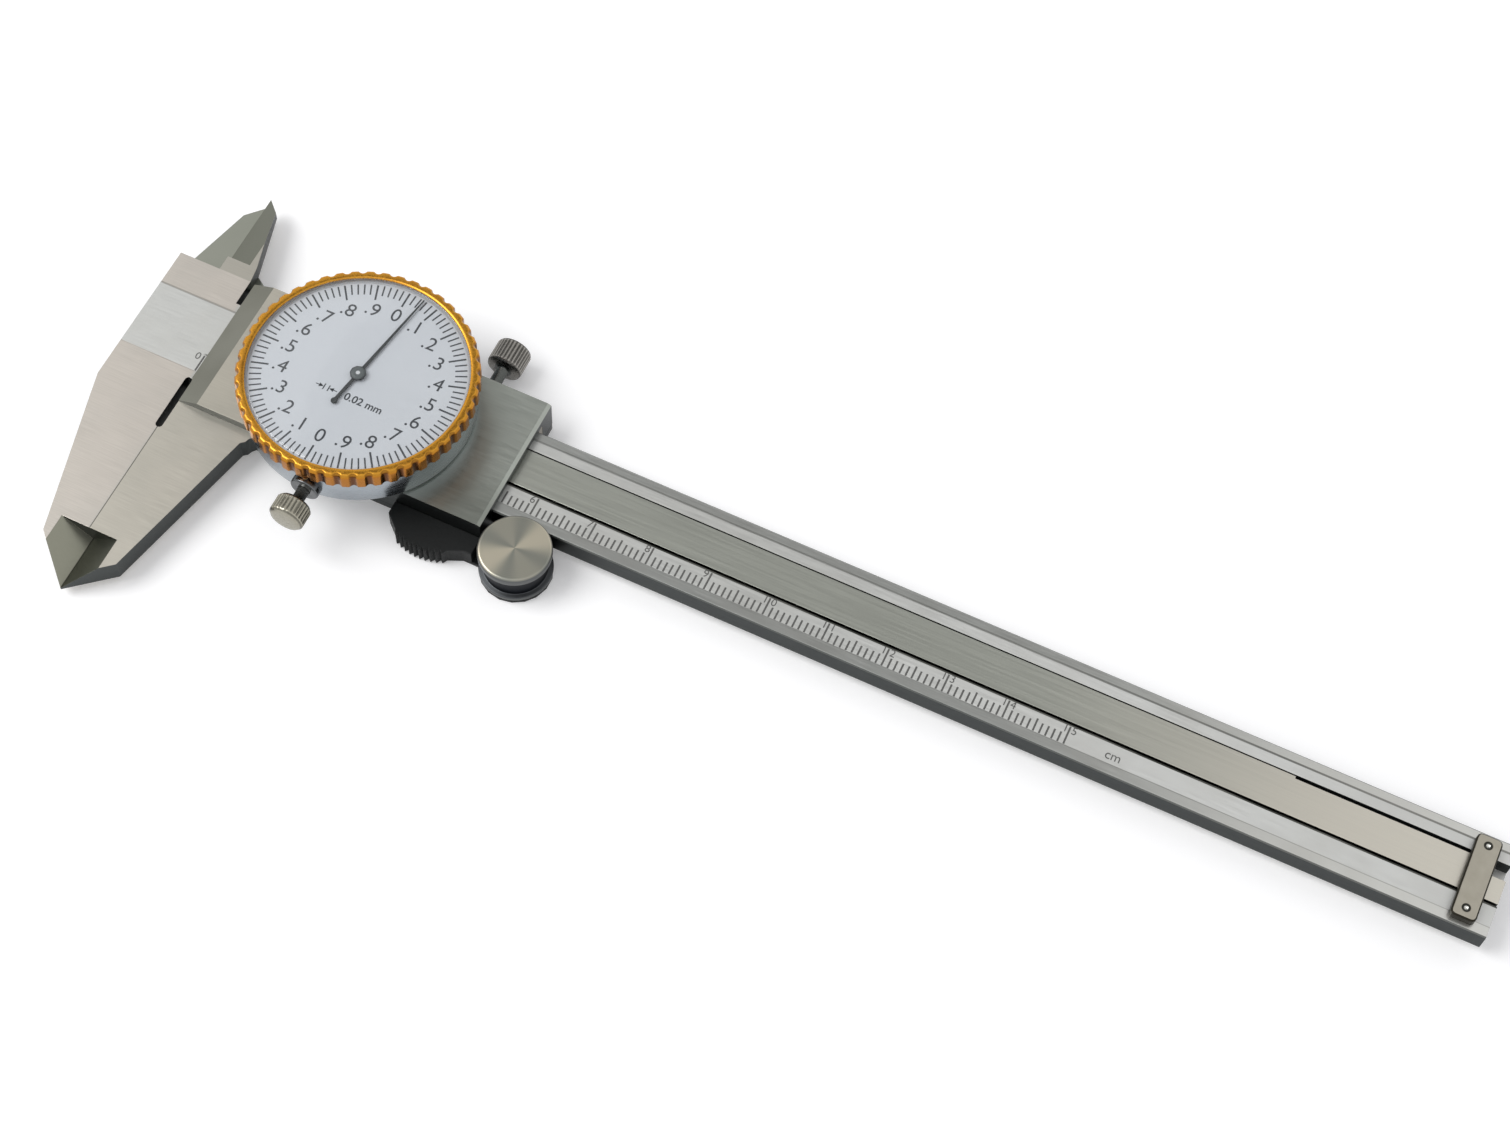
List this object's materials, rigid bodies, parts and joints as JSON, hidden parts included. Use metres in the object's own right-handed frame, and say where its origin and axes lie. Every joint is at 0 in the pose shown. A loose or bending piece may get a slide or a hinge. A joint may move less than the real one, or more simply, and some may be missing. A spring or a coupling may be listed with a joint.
{
  "type": "dial caliper",
  "caption": "Dial caliper with a grooved beam, outside and inside jaws, depth blade, round dial with a scalloped bezel, knurled screws and a thumb wheel.",
  "frame": {"origin": "On the closed outside measuring faces, at the beam's lower edge and half its thickness.", "axes": "+X along the beam towards the depth end, +Y across it towards the inside jaws, +Z out of the dial."},
  "size_m": [0.2312, 0.0775, 0.0162],
  "materials": {
    "beam_steel": "satin ground stainless steel, fine graduations filled dark",
    "slider_steel": "satin grey-green stainless steel",
    "satin_steel": "satin stainless steel with lengthwise grain",
    "turned_steel": "fine turned rings",
    "knurled_steel": "plated, straight knurl",
    "rack_steel": "bare tool steel",
    "pin_steel": "plain machined",
    "gib_brass": "drawn bronze strip",
    "movement_brass": "fine machined brass",
    "case_metal": "blue-grey satin lacquer",
    "gold_bezel": "gold anodised, bright",
    "crystal": "clear, polished",
    "dial_white": "matt white with black print",
    "pointer_dark": "dark lacquer",
    "black_plastic": "black, fine grain"
  },
  "bodies": {
    "beam": {"beam": "beam_steel", "rack": "rack_steel", "rack_pins": "rack_steel", "stop_plate": "satin_steel", "stop_plate_pins": "pin_steel"},
    "slider": {"slider_frame": "slider_steel", "gib_strip": "gib_brass", "gib_set_screws": "pin_steel", "back_plate": "slider_steel", "back_plate_screws": "pin_steel", "depth_blade": "satin_steel", "blade_pins": "pin_steel", "thumb_rest": "black_plastic", "thumb_rest_screws": "pin_steel", "dial_case": "case_metal", "case_screws": "pin_steel", "bezel_snap_ring": "rack_steel", "bezel_clamp_pin": "movement_brass", "pinion_bush": "movement_brass", "centre_bush": "movement_brass", "take_up_bush": "movement_brass", "movement_bridge": "movement_brass", "bridge_posts": "movement_brass", "bridge_screws": "pin_steel", "hairspring": "rack_steel", "hairspring_stud": "movement_brass"},
    "drive_gear": {"rack_pinion": "rack_steel", "drive_wheel": "movement_brass"},
    "pointer_arbor": {"centre_pinion": "rack_steel", "pointer": "pointer_dark", "pointer_hub": "pointer_dark"},
    "take_up_gear": {"take_up_arbor": "rack_steel", "take_up_wheel": "movement_brass", "hairspring_collet": "movement_brass"},
    "thumb_wheel": {"thumb_wheel": "turned_steel", "thumb_wheel_screw": "pin_steel"},
    "bezel": {"bezel": "gold_bezel", "crystal": "crystal", "dial_face": "dial_white", "dial_retaining_ring": "rack_steel"},
    "lock_screw": {"lock_screw": "knurled_steel"},
    "bezel_clamp_screw": {"bezel_clamp_screw": "knurled_steel"}
  },
  "joints": [
    {"name": "slider_travel", "type": "slide", "parent": "beam", "child": "slider", "axis": [1, 0, 0], "range_m": [0, 0.1568]},
    {"name": "drive_gear_spin", "type": "hinge", "parent": "slider", "child": "drive_gear", "pos_m": [0.02, 0.008, 0.005], "axis": [0, 0, 1], "continuous": true},
    {"name": "pointer_spin", "type": "hinge", "parent": "slider", "child": "pointer_arbor", "pos_m": [0.0272, 0.008, 0.005], "axis": [0, 0, 1], "continuous": true},
    {"name": "take_up_spin", "type": "hinge", "parent": "slider", "child": "take_up_gear", "pos_m": [0.0344, 0.008, 0.005], "axis": [0, 0, 1], "continuous": true},
    {"name": "thumb_wheel_roll", "type": "hinge", "parent": "slider", "child": "thumb_wheel", "pos_m": [0.061, -0.00512, 0], "axis": [0, 0, 1], "continuous": true},
    {"name": "bezel_turn", "type": "hinge", "parent": "slider", "child": "bezel", "pos_m": [0.0272, 0.008, 0.01], "axis": [0, 0, 1], "continuous": true},
    {"name": "lock_screw_turn", "type": "hinge", "parent": "slider", "child": "lock_screw", "pos_m": [0.0433, 0.02, 0], "axis": [0, 1, 0], "range_deg": [-90, 360]},
    {"name": "bezel_clamp_turn", "type": "hinge", "parent": "slider", "child": "bezel_clamp_screw", "pos_m": [0.028, -0.012, 0.0065], "axis": [0, 1, 0], "range_deg": [-360, 90]}
  ],
  "couplings": [
    {"joint": "drive_gear_spin", "follows": "slider_travel", "rad_per_m": 628.32},
    {"joint": "pointer_spin", "follows": "slider_travel", "rad_per_m": -3141.6},
    {"joint": "take_up_spin", "follows": "slider_travel", "rad_per_m": 628.32},
    {"joint": "thumb_wheel_roll", "follows": "slider_travel", "rad_per_m": 196.08}
  ]
}
